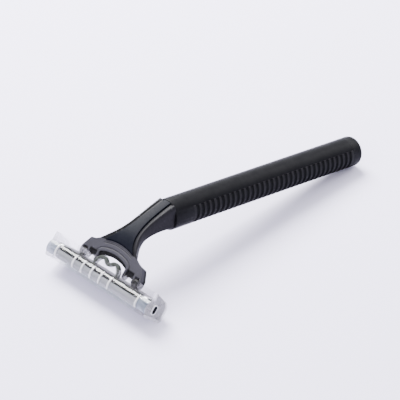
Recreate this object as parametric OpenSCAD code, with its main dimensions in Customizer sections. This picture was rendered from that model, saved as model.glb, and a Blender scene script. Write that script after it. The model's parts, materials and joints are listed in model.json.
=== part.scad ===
// Cartridge razor with a ribbed round handle, a swept neck that ends in a forked yoke, a pivoting
// three-blade cartridge and a clear ribbed cover over the blades.
// The razor lies face down: the cover's rear corner and the handle's far end touch z = 0.
// The origin is at the middle of that footprint, +Y runs towards the handle's far end.

/* [Handle] */
// Length of the handle from its front rim to its far end
handle_len = 86; // [68:1:104]
// Outside diameter of the handle
handle_d = 10.2; // [8.5:0.1:12.5]
// Bore of the handle tube
bore_d = 5; // [4:0.1:5.4]
// Rounding of the tube's front rim
rim_round = 0.35; // [0.1:0.05:0.5]
// Length of the end cap's visible band
end_cap_len = 4.2; // [3:0.5:8]
// Rounding of the end cap's edge
end_round = 1.6; // [0.5:0.1:2]
// Length of the plugs that enter the tube
plug_len = 7; // [4:0.5:12]
// Radial clearance of the plugs in the tube
plug_clearance = 0.02; // [0.01:0.01:0.1]

/* [Grip] */
// Plain length of tube in front of the grip
grip_start = 7.6; // [5:0.1:14]
// Thickness of the grip sleeve
grip_t = 1.1; // [0.8:0.1:1.3]
// Angle of the tube that the grip wraps
grip_wrap = 250; // [180:5:280]
// Distance from one grip groove to the next
groove_pitch = 2.2; // [1.6:0.1:4]
// Depth of the grip grooves
groove_depth = 0.55; // [0.2:0.05:0.7]
// Plain length at each end of the grip
grip_margin = 0.5; // [0.3:0.1:2]
// Least length of tube left between the grip and the end cap
rear_land = 0.5; // [0.3:0.1:2]

/* [Neck] */
// Distance from the rim back to the cartridge pivot, along the handle
neck_reach = 21.6; // [19:0.1:25]
// Drop from the handle's axis to the cartridge pivot
neck_drop = 12.2; // [10:0.1:15]
// Angle between the handle's axis and the plane of the blades
head_pitch = 33; // [25:0.5:42]
// Half width of the neck where it meets the rim
neck_half_w = 4.1; // [3:0.1:4.4]
// Half width of the neck at its waist
waist_half_w = 3.6; // [2.6:0.1:4.2]
// Half width of the raised panel at the rim
panel_half_w = 1.5; // [0.8:0.1:2.2]
// Height that the panel stands above the neck
panel_rise = 0.35; // [0.1:0.05:0.6]
// Depth of the pocket that holds the panel
panel_seat = 0.6; // [0.3:0.1:1]

/* [Yoke] */
// Half width of the yoke at its shoulders
shoulder_half_w = 12.3; // [11.6:0.1:14.5]
// Thickness of the yoke plate
yoke_t = 2.6; // [2.2:0.1:3.2]
// Height of the shoulders above the pivot
shoulder_h = 4.9; // [4.6:0.1:7]
// Height of the arch's crown above the pivot
arch_h = 3.8; // [3.2:0.1:4.2]
// Width of the opening between the two fingers
arch_w = 12.2; // [10.8:0.1:12.6]
// Thickness of the fingers and of the forks' legs
leg_t = 0.9; // [0.7:0.05:1.1]
// Diameter of the pivot pins
pin_d = 1.2; // [1:0.01:1.44]
// Radial clearance of a pin in the cartridge's lug
pin_clearance = 0.05; // [0.02:0.01:0.09]

/* [Cartridge] */
// Width of the cartridge, end to end
cart_w = 42; // [38:0.1:50.4]
// Depth of the cartridge, from its leading to its trailing edge
cart_depth = 8; // [7.6:0.1:9]
// Thickness of the cartridge
cart_t = 4.7; // [4.5:0.1:5.4]
// Distance from the pivot axis down to the cartridge's back
back_gap = 1.7; // [1.6:0.1:2]
// Distance from the cartridge's leading edge to the pivot axis
lead_offset = 2.9; // [2.5:0.1:3.4]
// Width of each bearing lug
lug_w = 1.5; // [1.2:0.1:1.7]
// Side play of a lug in its fork
side_play = 0.15; // [0.1:0.05:0.2]
// Distance from one blade's edge to the next
blade_pitch = 1.25; // [1.1:0.05:1.35]
// Thickness of a blade
blade_t = 0.12; // [0.1:0.01:0.2]
// Width of a blade
blade_w = 3; // [2.6:0.1:3.2]
// Angle of a blade to the shaving plane
blade_angle = 22; // [20:1:24]
// Distance of the blades' edges behind the shaving plane
edge_set = 0.12; // [0.05:0.01:0.3]
// Thickness of the metal retaining clips
clip_t = 0.25; // [0.15:0.05:0.35]
// Width of the retaining clips
clip_w = 1.4; // [1:0.1:2.2]
// Distance from the cartridge's end to the clip
clip_inset = 0.8; // [0.4:0.1:1.5]

/* [Return spring] */
// Height of the spring's two loops above the pivot axis
spring_h = 2.1; // [1.6:0.1:2.2]
// Height of the dip between the loops above the pivot axis
spring_dip = 0.8; // [0.4:0.1:1.1]
// Thickness of the spring's strip
spring_t = 0.85; // [0.5:0.05:0.9]
// Width of the spring's strip
spring_w = 1.5; // [1:0.1:1.6]

/* [Protective cap] */
// Wall of the protective cap
cap_wall = 0.8; // [0.6:0.05:1.2]
// Gap between the cap and the cartridge
cap_gap = 0.25; // [0.15:0.05:0.5]
// Play between the cap's end walls and the cartridge's ends
cap_end_gap = 1.2; // [0.3:0.1:1.5]
// Height of the cap's front skirt above the pivot axis
skirt_h = 0.85; // [0.4:0.05:1.4]
// Height of the rounded band along the cap's nose
band_w = 4.1; // [3.4:0.1:4.2]
// How far the band bulges out of the nose
band_bulge = 0.9; // [0.5:0.05:1.2]
// Rounding of the corner below the band
nose_round = 1.2; // [0.9:0.1:1.3]
// Rounding of the corner that the cap rests on
rest_round = 1; // [0.6:0.1:1.4]
// Depth of the flat ground into that corner
rest_flat = 0.2; // [0.1:0.05:0.4]
// Height of the ribs on the band
rib_h = 0.3; // [0.2:0.05:0.6]
// Width of the ribs
rib_w = 0.55; // [0.4:0.05:1]
// Distance between the middle ribs
rib_pitch = 4.1; // [2.5:0.1:4.4]
// Number of middle ribs
rib_count = 5; // [2:1:6]
// Distance of the middle ribs' centre from the cap's centre, towards the right
rib_shift = -2.2; // [-2.5:0.1:2.5]
// Distance of the two outer ribs from the cap's ends
rib_inset = 4.3; // [3:0.1:5.5]
// Length of the slot window in each end wall
window_len = 2.7; // [1.5:0.1:3.2]
// Width of the slot window
window_w = 1.5; // [1:0.1:1.8]
// Height of the raised rim round the window
window_rim = 0.3; // [0.15:0.05:0.5]

/* [Hidden] */
$fn = 64;

curve_steps = 14;
arc_steps = 8;
eps = 0.01;
far = 40;

// Handle
handle_r = handle_d / 2;
bore_r = bore_d / 2;
plug_r = bore_r - plug_clearance;
tube_len = handle_len - end_cap_len;
grip_r = handle_r - grip_t;
groove_count = floor((tube_len - grip_start - 2 * grip_margin - rear_land) / groove_pitch);
grip_len = groove_count * groove_pitch + 2 * grip_margin;

// Cartridge and cap outlines, in the head's frame: y from the pivot towards the trailing edge,
// z from the pivot away from the skin
lead_y = -lead_offset;
trail_y = cart_depth - lead_offset;
back_z = -back_gap;
face_z = back_z - cart_t;
nose_y = lead_y - cap_gap - cap_wall;
rear_y = trail_y + cap_gap;
floor_z = face_z - cap_gap - cap_wall;
cap_half_w = cart_w / 2 + cap_end_gap + cap_wall;
band_r = (band_w * band_w / 4 + band_bulge * band_bulge) / (2 * band_bulge);
band_a = asin(band_w / 2 / band_r);
band_c = [nose_y - band_bulge + band_r, floor_z + nose_round + 0.05 + band_w / 2];

// Tilt at which the cap's rest corner and the end cap's edge both touch the table
corner = [rear_y - rest_round, floor_z + rest_round];
corner_y = -neck_reach + corner[0] * cos(head_pitch) + corner[1] * sin(head_pitch);
corner_z = -neck_drop - corner[0] * sin(head_pitch) + corner[1] * cos(head_pitch);
end_y = handle_len - end_round;
end_z = handle_r - end_round;
span_y = end_y - corner_y;
span_z = corner_z + end_z;
corner_r = rest_round - rest_flat;
rest_tilt = asin((corner_r - end_round) / norm([span_y, span_z])) - atan2(span_z, span_y);
rest_z = corner_r - corner_z * cos(rest_tilt) + corner_y * sin(rest_tilt);
head_tilt = rest_tilt + head_pitch;
pivot_back = -neck_reach * cos(rest_tilt) - neck_drop * sin(rest_tilt);
nose_reach = min([for (p = concat(cap_outline(), band(rib_h)))
    p[0] * cos(head_tilt) + p[1] * sin(head_tilt)]);
front_y = pivot_back + nose_reach;
back_y = end_y * cos(rest_tilt) + end_z * sin(rest_tilt) + end_round;
rest_y = -(front_y + back_y) / 2;

// Yoke, in the head's frame
half_t = yoke_t / 2;
boss_r = half_t;
lug_r = half_t;
crown_z = shoulder_h + 2.7;
fork_out = shoulder_half_w + 1.5;
lug_in = fork_out - leg_t - side_play - lug_w;
fork_in = lug_in - side_play - leg_t;

// Blade stack, in the head's frame
edge_z = face_z + edge_set;
edge_y = trail_y - 1.75;
stack_step = blade_pitch * sin(blade_angle);
slide_step = blade_pitch * cos(blade_angle);
spacer_t = stack_step - blade_t;
clip_x = cart_w / 2 - clip_inset - clip_w / 2;
blade_half = clip_x - clip_w / 2 - 0.1;
cover_half = cart_w / 2 - clip_inset / 2;

function bez(p, t) = pow(1 - t, 3) * p[0] + 3 * t * pow(1 - t, 2) * p[1]
    + 3 * t * t * (1 - t) * p[2] + pow(t, 3) * p[3];
function curve(p) = [for (i = [0 : curve_steps]) bez(p, i / curve_steps)];
function arc(c, r, a0, a1, steps = arc_steps) = [for (i = [0 : steps])
    c + r * [cos(a0 + (a1 - a0) * i / steps), sin(a0 + (a1 - a0) * i / steps)]];
function backwards(pts) = [for (i = [len(pts) - 1 : -1 : 0]) pts[i]];
function mirrored(pts) = [for (i = [len(pts) - 1 : -1 : 0]) [-pts[i][0], pts[i][1]]];
function shifted(pts, d) = [for (p = pts) p + d];
function narrowed(pts, d) = [for (p = pts) [p[0] - d, p[1]]];
function yoke_point(y, z) = [
    -neck_reach + y * cos(head_pitch) + z * sin(head_pitch),
    -neck_drop - y * sin(head_pitch) + z * cos(head_pitch)
];
plate_run = [sin(head_pitch), cos(head_pitch)];

// The neck's upper side comes down to its edges in this many steps
neck_steps = 4;
step_drop = 0.8;
step_in = 0.55;

// Places a shape made in the handle's frame, axis along +Y from the front rim, on the table
module on_table() {
    translate([0, rest_y, rest_z]) rotate([-rest_tilt, 0, 0]) children();
}

// Places a shape made in the head's frame, with its origin on the pivot axis
module in_head() {
    on_table() translate([0, -neck_reach, -neck_drop]) rotate([-head_pitch, 0, 0]) children();
}

// Turns a profile of [radius, distance along the handle] about the handle's axis
module turned(angle = 360) {
    rotate([-90, 0, 0]) rotate([0, 0, 90 - angle / 2]) rotate_extrude(angle = angle) children();
}

// Extrudes a [y, z] outline across the razor, to half_w on each side
module across(half_w) {
    rotate([90, 0, 90]) linear_extrude(2 * half_w, center = true) children();
}

// Extrudes an [x, z] outline along y, from y0 to y1
module along_y(y0, y1) {
    translate([0, y1, 0]) rotate([90, 0, 0]) linear_extrude(y1 - y0) children();
}

// Handle

module handle_tube() {
    color("#1d1d1f") on_table() difference() {
        turned() polygon(concat(
            [[bore_r, 0]],
            arc([handle_r - rim_round, rim_round], rim_round, -90, 0),
            [[handle_r, tube_len], [bore_r, tube_len]]
        ));
        turned(grip_wrap) translate([grip_r, grip_start]) square([grip_t + 1, grip_len]);
    }
}

// One groove's outline, from its front crest to its rear crest
function groove(y) = [
    [handle_r, y + 0.18 * groove_pitch],
    [handle_r - groove_depth, y + 0.3 * groove_pitch],
    [handle_r - groove_depth, y + 0.7 * groove_pitch],
    [handle_r, y + 0.82 * groove_pitch]
];

module grip_sleeve() {
    color("#232325") on_table() turned(grip_wrap) translate([0, grip_start]) polygon(concat(
        [[grip_r, 0], [handle_r, 0]],
        [for (i = [0 : groove_count - 1]) each groove(grip_margin + i * groove_pitch)],
        [[handle_r, grip_len], [grip_r, grip_len]]
    ));
}

module end_cap() {
    color("#1b1b1d") on_table() turned() polygon(concat(
        [[0, tube_len - plug_len], [plug_r, tube_len - plug_len], [plug_r, tube_len]],
        [[handle_r, tube_len]],
        arc([handle_r - end_round, handle_len - end_round], end_round, 0, 90),
        [[0, handle_len]]
    ));
}

// Neck and yoke

neck_top = [[0, handle_r - 0.45], [-5.4, handle_r - 2.3], yoke_point(-half_t, crown_z) + 4.3 * plate_run,
    yoke_point(-half_t, crown_z)];
neck_under = [[0, -3.4], [-6, -2.6], yoke_point(half_t, shoulder_h + 0.4) + 5 * plate_run,
    yoke_point(half_t, shoulder_h + 0.4)];

// Side of the neck, with its front end sunk into the yoke plate and its top lowered by drop
module neck_side(drop) {
    polygon(concat(
        shifted(curve(neck_top), [0, -drop]),
        [yoke_point(-half_t, shoulder_h), yoke_point(half_t, shoulder_h)],
        backwards(curve(neck_under))
    ));
}

// Right edge of the neck, [x, y], from the rim to the shoulders
flare = [5.2, -0.707 * neck_reach];
neck_edge = concat(
    curve([[neck_half_w, 0], [waist_half_w, -0.2 * neck_reach], [waist_half_w - 0.3, -0.5 * neck_reach], flare]),
    curve([flare, [6.5, -0.81 * neck_reach], [shoulder_half_w - 3, -0.885 * neck_reach],
        [shoulder_half_w - 0.6, -0.935 * neck_reach]])
);

// Right edge of the raised panel, from the rim to its front corner
panel_edge = curve([[panel_half_w, 0.01], [panel_half_w, -0.455 * neck_reach], [2.5, -0.707 * neck_reach],
    [6.2, -0.869 * neck_reach]]);

module plan(edge, top, bottom) {
    translate([0, 0, bottom]) linear_extrude(top - bottom) polygon(concat(edge, mirrored(edge)));
}

// Right half of the yoke's outline, [x, z] in the head's frame, from the pivot up to the crown
function yoke_edge() = concat(
    arc([fork_out - boss_r, 0], boss_r, -90, 0),
    [[fork_out, 1.2]],
    arc([shoulder_half_w - 1.2, shoulder_h - 0.9], 1.2, 12, 75),
    curve([[shoulder_half_w - 2.2, shoulder_h + 0.6], [8.9, shoulder_h + 1.2],
        [7.7, shoulder_h + 1.8], [7, crown_z]])
);

module yoke_plate() {
    along_y(-half_t, half_t) polygon(concat(
        [[0, 0]],
        [[arch_w / 2, 0], [arch_w / 2, -boss_r]],
        yoke_edge(),
        mirrored(yoke_edge()),
        [[-arch_w / 2, -boss_r], [-arch_w / 2, 0]]
    ));
}

// Opening under the arch, front face wider than the back
module arch_cut(y0, y1, inset) {
    w = arch_w / 2;
    h = arch_h - inset;
    right = curve([[w, 0.62 * arch_h - inset], [w - 0.6, 0.8 * arch_h - inset], [2.5, h], [0, h]]);
    along_y(y0, y1) polygon(concat([[w, -5]], right, mirrored(right), [[-w, -5]]));
}

module neck_yoke() {
    pocket_in = arch_w / 2 + leg_t;
    color("#2b2b2e") difference() {
        union() {
            on_table() {
                for (i = [0 : neck_steps - 1]) intersection() {
                    across(far) neck_side(i * step_drop);
                    plan(narrowed(neck_edge, (neck_steps - 1 - i) * step_in), far, -far);
                }
                turned() polygon([[0, -1], [plug_r, -1], [plug_r, plug_len], [0, plug_len]]);
            }
            in_head() intersection() {
                yoke_plate();
                across(far) polygon(concat(
                    arc([0, 0], boss_r, 180, 360),
                    [[half_t, crown_z - 1.4], [-half_t, crown_z]]
                ));
            }
        }
        in_head() {
            arch_cut(-half_t - 1, -half_t + 0.9, 0);
            arch_cut(-half_t, half_t + 4, 1.1);
            for (side = [-1, 1]) scale([side, 1, 1]) {
                // pocket between finger and fork
                translate([pocket_in, -far / 2, -far]) cube([fork_in - pocket_in, far, far + 2.1]);
                // slot for the cartridge's lug
                translate([fork_in + leg_t, -far / 2, -far])
                    cube([lug_w + 2 * side_play, far, far + lug_r + 0.3]);
                translate([fork_in - 1, 0, 0]) rotate([0, 90, 0]) cylinder(r = pin_d / 2, h = far / 4);
            }
        }
        panel_blank();
    }
}

// Band that follows the neck's upper side, between two heights above it
module panel_band(low, high) {
    rise = [-0.5, 0.87];
    across(far) polygon(concat(
        shifted(curve(neck_top), low * rise),
        backwards(shifted(curve(neck_top), high * rise))
    ));
}

module panel_blank() {
    on_table() intersection() {
        panel_band(-panel_seat, panel_rise);
        plan(panel_edge, far, -far);
        translate([-far, -far - 0.6, -far]) cube([2 * far, far, 2 * far]);
    }
}

module neck_panel() {
    color("#151517") panel_blank();
}

module pivot_pin(side) {
    color("#b9bbc0") in_head() translate([side > 0 ? fork_in : -fork_out, 0, 0])
        rotate([0, 90, 0]) cylinder(r = pin_d / 2, h = fork_out - fork_in);
}

module pivot_pin_left() {
    pivot_pin(-1);
}

module pivot_pin_right() {
    pivot_pin(1);
}

// Cartridge

// Outline of the cartridge, [y, z], drawn in by inset all round
function cart_outline(inset) = concat(
    arc([lead_y + 1.1, face_z + 1.1], 1.1 - inset, 180, 270),
    arc([trail_y - 0.8, face_z + 0.8], 0.8 - inset, 270, 360),
    arc([trail_y - 0.8, back_z - 0.8], 0.8 - inset, 0, 90),
    arc([lead_y + 1.1, back_z - 1.1], 1.1 - inset, 90, 180)
);

// Frame in which y runs along a blade from its edge and z stands up from the blade's outer face;
// index 0 is the blade nearest the guard
module on_blade(index) {
    translate([0, edge_y, edge_z]) rotate([180 - blade_angle, 0, 0])
        translate([0, index * slide_step, index * stack_step]) children();
}

// A flat strip in the blade stack, centred across the cartridge
module strip(index, half_len, start, width, low, high) {
    on_blade(index) translate([-half_len, start, low]) cube([2 * half_len, width, high - low]);
}

module clip_band(side) {
    translate([side * clip_x, 0, 0]) across(clip_w / 2) difference() {
        polygon(cart_outline(0));
        polygon(cart_outline(clip_t));
    }
}

// Room for the blades, spacers and cover: everything outside the lowest blade's seat
module stack_room(half_len) {
    intersection() {
        on_blade(0) translate([-half_len, -0.9, -blade_t]) cube([2 * half_len, far, far]);
        translate([-far, lead_y - 1, face_z - 1]) cube([2 * far, edge_y - lead_y + 1.45, cart_t]);
    }
}

module guard_slot() {
    translate([-blade_half, trail_y - 1.05, face_z - 1]) cube([2 * blade_half, 0.8, 1.9]);
}

// The front cover before its slot is cut
module cover_blank() {
    intersection() {
        across(cover_half) polygon(cart_outline(0));
        stack_room(cover_half);
        on_blade(2) translate([-far, 0.55, 0]) cube([2 * far, far, far]);
    }
}

module cartridge_frame() {
    color("#1a1a1c") in_head() difference() {
        union() {
            across(cart_w / 2) polygon(cart_outline(0));
            for (side = [-1, 1]) translate([side * (lug_in + lug_w / 2), 0, 0]) {
                across(lug_w / 2) circle(r = lug_r);
                translate([-lug_w / 2, -lug_r, back_z - 0.5]) cube([lug_w, 2 * lug_r, back_gap + 0.5]);
            }
        }
        stack_room(blade_half);
        cover_blank();
        guard_slot();
        for (side = [-1, 1]) {
            clip_band(side);
            translate([side * (lug_in + lug_w / 2), 0, 0])
                across(lug_w) circle(r = pin_d / 2 + pin_clearance);
        }
        for (side = [-1, 1]) translate([side * arch_w * 0.44, -lead_offset + 1.3, back_z])
            cube([spring_t * 1.4, spring_w, 0.8], center = true);
    }
}

module cover_slot() {
    translate([-blade_half + 1, lead_y + 0.7, face_z - 1]) cube([2 * blade_half - 2, 1.2, 1.35]);
}

module cartridge_cover() {
    color("#202024") in_head() difference() {
        cover_blank();
        cover_slot();
        for (side = [-1, 1]) clip_band(side);
    }
}

module lubricating_strip() {
    color("#cfe6e4") in_head() intersection() {
        cover_slot();
        translate([-far, -far, face_z - 0.05]) cube([2 * far, 2 * far, far]);
    }
}

module guard_strip() {
    fin_pitch = 0.27;
    color("#3a3d44") in_head() difference() {
        intersection() {
            guard_slot();
            translate([-far, -far, face_z - 0.05]) cube([2 * far, 2 * far, far]);
        }
        for (i = [0 : 1]) translate([-far, trail_y - 0.85 + i * fin_pitch, face_z - 1])
            cube([2 * far, 0.12, 1.2]);
    }
}

module blade(index) {
    bevel = 0.35;
    color("#d4d7dc") in_head() on_blade(index) across(blade_half) polygon([
        [0, -blade_t / 2], [bevel, 0], [blade_w, 0], [blade_w, -blade_t], [bevel, -blade_t]
    ]);
}

module blade_1() {
    blade(0);
}

module blade_2() {
    blade(1);
}

module blade_3() {
    blade(2);
}

module blade_spacer(index) {
    color("#a9adb5") in_head() strip(index, blade_half, 0.9, blade_w - 0.9, 0, spacer_t);
}

module blade_spacer_1() {
    blade_spacer(0);
}

module blade_spacer_2() {
    blade_spacer(1);
}

module retaining_clip_left() {
    color("#c9ccd2") in_head() clip_band(-1);
}

module retaining_clip_right() {
    color("#c9ccd2") in_head() clip_band(1);
}

// Return spring: a strip bent into two loops, standing on the cartridge's back

loop_x = arch_w * 0.21;
foot_x = arch_w * 0.44;

// Height of the strip's centre line at x, from foot to foot
function spring_z(x) = let (
        crest = spring_h - spring_t / 2,
        dip = spring_dip - spring_t / 2,
        foot = back_z - 0.2,
        a = abs(x)
    ) a < loop_x
        ? (crest + dip) / 2 - (crest - dip) / 2 * cos(180 * a / loop_x)
        : foot + (crest - foot) * sqrt(max(0, 1 - pow((a - loop_x) / (foot_x - loop_x), 2)));

spring_x = concat(
    [for (i = [0 : 12]) foot_x - (foot_x - loop_x) * (1 - cos(90 * i / 12))],
    [for (i = [1 : 12]) loop_x * (1 - i / 12)]
);
spring_line = concat(
    [for (x = spring_x) [x, spring_z(x)]],
    [for (i = [len(spring_x) - 2 : -1 : 0]) [-spring_x[i], spring_z(spring_x[i])]]
);

// Offsets a line of points by d to its right
function beside(line, d) = [for (i = [0 : len(line) - 1]) let (
        a = line[max(i - 1, 0)],
        b = line[min(i + 1, len(line) - 1)],
        t = (b - a) / norm(b - a)
    ) line[i] + d * [t[1], -t[0]]];

module return_spring() {
    mid_y = lead_y + 1.3;
    color("#39403c") in_head() along_y(mid_y - spring_w / 2, mid_y + spring_w / 2)
        polygon(concat(beside(spring_line, spring_t / 2), backwards(beside(spring_line, -spring_t / 2))));
}

// Protective cap

// Curve of the band along the nose, [y, z], from top to bottom, grown by grow
function band(grow) = arc(band_c, band_r + grow, 180 - band_a, 180 + band_a, 2 * arc_steps);

// Outline of the cap's nose and blade side, [y, z]
function cap_outline() = concat(
    [[nose_y, skirt_h]],
    band(0),
    arc([nose_y + nose_round, floor_z + nose_round], nose_round, 180, 270),
    arc([rear_y - rest_round, floor_z + rest_round], rest_round, 270, 360)
);

// Outline of an end wall
function end_outline() = concat(
    cap_outline(),
    arc([rear_y - 3.4, skirt_h - 4.6], 3.4, 0, 75),
    arc([nose_y + 1.6, skirt_h - 0.5], 0.5, 60, 90)
);

module window(grow, depth) {
    run = (window_len - window_w) / 2;
    for (side = [-1, 1]) translate([side * cap_half_w, cart_depth / 2 - lead_offset - 1.6, face_z + 2.3])
        across(depth) union() {
            for (end = [-1, 1]) translate([0, end * run]) circle(d = window_w + 2 * grow);
            square([window_w + 2 * grow, 2 * run], center = true);
        }
}

module rib(x) {
    translate([x, 0, 0]) across(rib_w / 2) polygon(concat(band(rib_h), backwards(band(-cap_wall / 2))));
}

module protective_cap() {
    rib_span = rib_pitch * (rib_count - 1);
    outer_x = cap_half_w - rib_inset;
    color([0.86, 0.87, 0.9, 0.55]) intersection() {
        in_head() difference() {
            union() {
                across(cap_half_w) polygon(end_outline());
                window(0.35, window_rim);
                for (i = [0 : rib_count - 1]) rib(rib_shift + i * rib_pitch - rib_span / 2);
                for (side = [-1, 1]) rib(side * outer_x);
            }
            translate([-cap_half_w + cap_wall, nose_y + cap_wall, floor_z + cap_wall])
                cube([2 * (cap_half_w - cap_wall), far, far]);
            translate([0, band_c[0], band_c[1]]) across(cap_half_w - cap_wall) circle(r = band_r - cap_wall);
            window(0, 3);
        }
        translate([-far, -2 * far, 0]) cube([2 * far, 2 * far, far]);
    }
}

handle_tube();
grip_sleeve();
end_cap();
neck_yoke();
neck_panel();
pivot_pin_left();
pivot_pin_right();
return_spring();
cartridge_frame();
cartridge_cover();
lubricating_strip();
guard_strip();
blade_1();
blade_2();
blade_3();
blade_spacer_1();
blade_spacer_2();
retaining_clip_left();
retaining_clip_right();
protective_cap();
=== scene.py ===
"""Cartridge razor lying face down: ribbed round handle, swept neck with a forked yoke, a sprung
three-blade cartridge and a clear ribbed cap. Builds every visible piece round the packed frame.

Pieces are modelled in millimetres in one of two local frames, and then placed in the row frame:
the handle frame has y along the handle from its front rim and z up; the head frame has its origin
on the cartridge's pivot, y towards the trailing edge and z away from the skin.
"""

import json
import math

import bmesh
import bpy
import numpy as np
from bpy.props import FloatProperty, FloatVectorProperty, IntProperty, PointerProperty
from mathutils import Matrix, Vector


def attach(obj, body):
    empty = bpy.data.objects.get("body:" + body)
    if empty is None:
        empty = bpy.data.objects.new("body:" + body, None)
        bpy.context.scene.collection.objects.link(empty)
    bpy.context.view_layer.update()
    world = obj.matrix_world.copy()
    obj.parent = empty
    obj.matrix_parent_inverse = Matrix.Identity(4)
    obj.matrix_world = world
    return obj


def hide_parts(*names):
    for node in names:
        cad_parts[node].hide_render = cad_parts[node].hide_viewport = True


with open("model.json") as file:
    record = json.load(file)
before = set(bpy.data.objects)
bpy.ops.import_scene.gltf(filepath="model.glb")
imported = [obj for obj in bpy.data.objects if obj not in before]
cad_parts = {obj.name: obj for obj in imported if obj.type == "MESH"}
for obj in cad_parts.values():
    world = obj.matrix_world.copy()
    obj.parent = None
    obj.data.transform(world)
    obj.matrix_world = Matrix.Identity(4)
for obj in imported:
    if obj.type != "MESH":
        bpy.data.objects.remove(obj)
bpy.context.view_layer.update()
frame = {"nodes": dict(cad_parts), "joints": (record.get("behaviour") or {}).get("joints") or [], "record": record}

bl_info = {
    "name": "Cartridge razor",
    "version": (1, 0, 0),
    "blender": (4, 5, 0),
    "location": "View3D > Sidebar > Razor",
    "description": "Builds a cartridge razor with a pivoting head and a slide-off cap",
    "category": "Object",
}

MM = 0.001
ACROSS = Vector((1, 0, 0))


# Frames and measures


def entry(rows, name):
    """The row of the record with this name."""
    return next(row for row in rows if row["name"] == name)


def placing(origin, along):
    """Matrix from a local frame in millimetres, y along the given direction, to the row frame."""
    turn = Matrix((ACROSS, along, ACROSS.cross(along))).transposed().to_4x4()
    return Matrix.Translation(origin) @ turn @ Matrix.Scale(MM, 4)


def vertices_of(node):
    data = frame["nodes"][node].data
    co = np.empty(len(data.vertices) * 3)
    data.vertices.foreach_get("co", co)
    return co.reshape(-1, 3)


def span(node, place):
    """Lowest and highest corner of a CAD node, in a local frame's millimetres."""
    inverse = np.array(place.inverted())
    co = vertices_of(node) @ inverse[:3, :3].T + inverse[:3, 3]
    return Vector(co.min(0)), Vector(co.max(0))


shaft = entry(frame["record"]["mounts"], "handle_shaft")
shaft_axis = Vector(shaft["axis"]).normalized()
shaft_middle = Vector(shaft["pos_m"])
rim_offset = ((vertices_of("handle_tube") - np.array(shaft_middle)) @ np.array(shaft_axis)).min()
HANDLE = placing(shaft_middle + shaft_axis * rim_offset, shaft_axis)

pivot = Vector(entry(frame["joints"], "cartridge_pivot")["pos_m"])
slide_axis = Vector(entry(frame["joints"], "cap_slide")["axis"]).normalized()
HEAD = placing(pivot, -slide_axis)
HEAD_IN_HANDLE = HANDLE.inverted() @ HEAD

tube_low, tube_high = span("handle_tube", HANDLE)
grip_low, grip_high = span("grip_sleeve", HANDLE)
end_low, end_high = span("end_cap", HANDLE)
yoke_low, yoke_high = span("neck_yoke", HEAD)
spring_low, spring_high = span("return_spring", HEAD)
cart_low, cart_high = span("cartridge_frame", HEAD)
cap_low, cap_high = span("protective_cap", HEAD)
pin_low, pin_high = span("pivot_pin_right", HEAD)


# Sizes and finishes that a user would change


def length(name, description, millimetres):
    """A length property, kept in metres."""
    return FloatProperty(name=name, description=description, default=millimetres * MM, min=0,
                         precision=5, unit="LENGTH")


def colour(name, description, value):
    return FloatVectorProperty(name=name, description=description, default=value, size=3, min=0,
                               max=1, subtype="COLOR")


class RazorHandleSizes(bpy.types.PropertyGroup):
    """Sizes of the tube, the grip and the end cap."""

    radius: length("Radius", "Outside radius of the handle", tube_high.x)
    bore: length("Bore", "Inside radius of the tube", 2.5)
    rim_round: length("Rim rounding", "Rounding of the tube's front rim", 0.35)
    end_round: length("End rounding", "Rounding of the end cap", 1.6)
    wrap: FloatProperty(name="Grip wrap", description="Angle of the tube that the grip wraps",
                        default=math.radians(250), subtype="ANGLE")
    grooves: IntProperty(name="Grooves", description="Number of grooves in the grip", default=33)
    margin: length("Grip margin", "Plain length at each end of the grip", 0.5)
    groove_depth: length("Groove depth", "Depth of the grip's grooves", 0.55)
    grip_t: length("Grip thickness", "Thickness of the grip sleeve", 1.1)


class RazorNeckSizes(bpy.types.PropertyGroup):
    """Sizes of the neck, its panel and the yoke."""

    panel_rise: length("Panel rise", "Height of the panel above the neck", 0.3)
    pocket: length("Pocket depth", "Depth of the shelf that holds the panel", 0.34)
    crown: length("Crown", "Height of the yoke's crown above the pivot", 7.6)
    arch_h: length("Arch height", "Height of the arch above the pivot", 3.8)
    arch_half_w: length("Arch half width", "Half the opening between the fingers", 6.1)
    leg_t: length("Leg thickness", "Thickness of the fingers and the forks' legs", 0.9)
    web_h: length("Web height", "Height of the web behind the pockets, above the pivot", 0.1)
    grain: length("Mesh size", "Size of the yoke's mesh cells", 0.13)


class RazorCapSizes(bpy.types.PropertyGroup):
    """Sizes of the protective cap."""

    band_w: length("Band height", "Height of the milky band along the nose", 4.1)
    band_bulge: length("Band bulge", "How far the band bulges out of the nose", 0.9)
    rib_h: length("Rib height", "Height of the ribs on the band", 0.3)
    rib_inset: length("Rib inset", "Distance of the outer ribs from the cap's ends", 4.3)
    clear_w: length("Clear strip", "Height of the clear strip along the top of the band", 1.4)
    nose_round: length("Nose rounding", "Rounding of the corner below the band", 1.2)
    window_rim: length("Window rim", "Height of the raised rim round the window", 0.3)


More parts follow.
